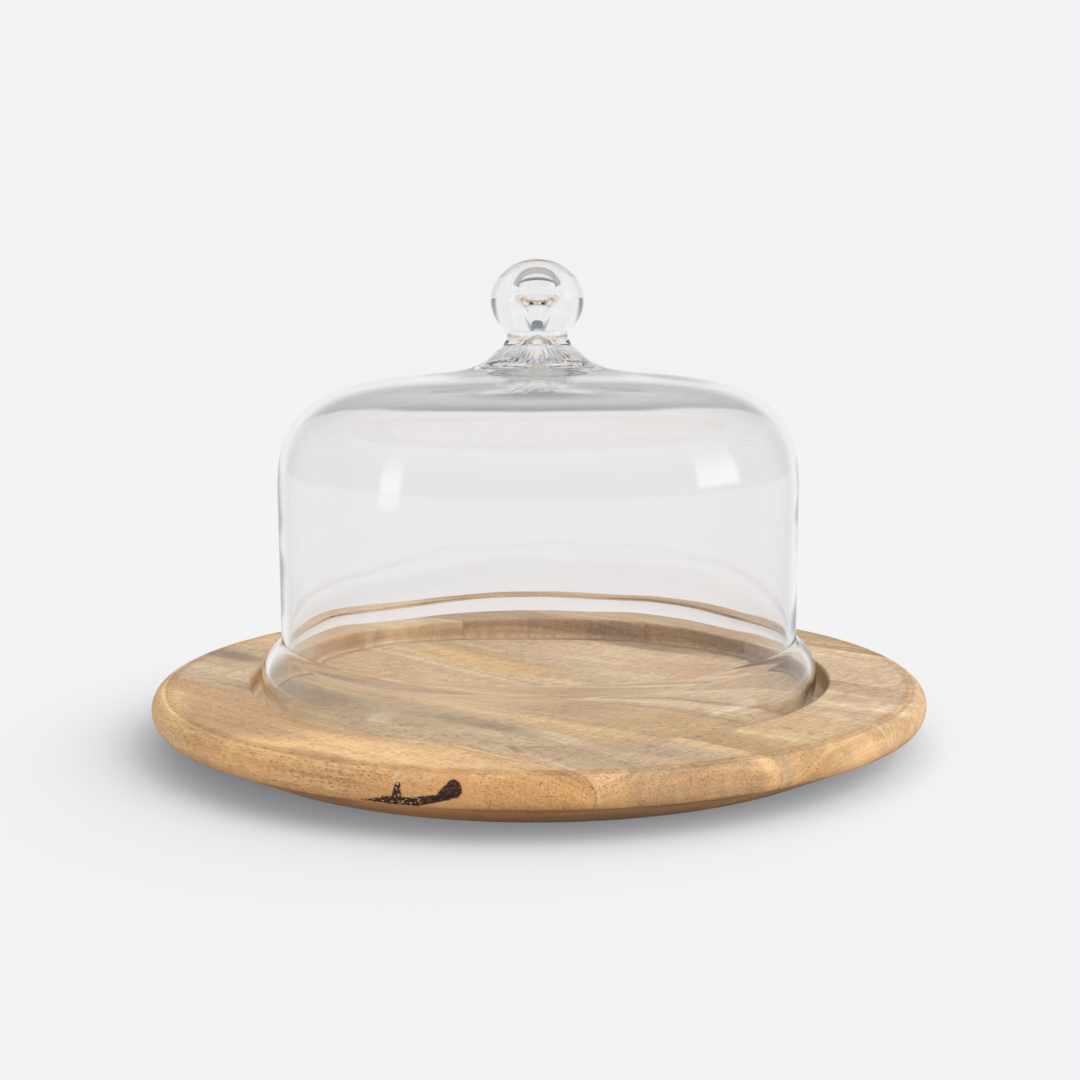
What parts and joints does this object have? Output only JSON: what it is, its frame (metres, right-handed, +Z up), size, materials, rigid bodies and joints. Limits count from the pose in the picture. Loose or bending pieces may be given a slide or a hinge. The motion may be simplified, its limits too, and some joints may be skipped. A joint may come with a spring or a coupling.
{
  "type": "glass cloche on a wooden board",
  "caption": "Clear blown-glass bell jar with a ball knob, standing in the round recess of a glued-up wooden board with a rounded edge and a bevelled underside.",
  "frame": {"origin": "centre of the board's flat underside, on the dome's axis", "axes": "+Z up along the axis of the board and the dome; -Y is the front, the side with the knot in the board's edge; +X to the right seen from the front"},
  "size_m": [0.3798, 0.3798, 0.2322],
  "materials": {
    "wood_stave_1": "oiled satin",
    "wood_stave_2": "oiled satin",
    "wood_stave_3": "oiled satin",
    "wood_stave_4": "oiled satin",
    "wood_stave_5": "oiled satin",
    "wood_stave_6": "oiled satin",
    "glass_dome": "clear polished",
    "glass_knob": "clear polished"
  },
  "bodies": {
    "board": {"stave_1": "wood_stave_1", "stave_2": "wood_stave_2", "stave_3": "wood_stave_3", "stave_4": "wood_stave_4", "stave_5": "wood_stave_5", "stave_6": "wood_stave_6"},
    "dome": {"dome_shell": "glass_dome", "knob": "glass_knob"}
  },
  "joints": [
    {"name": "dome_lift", "type": "slide", "parent": "board", "child": "dome", "axis": [0, 0, 1], "range_m": [0, 0.25]}
  ]
}
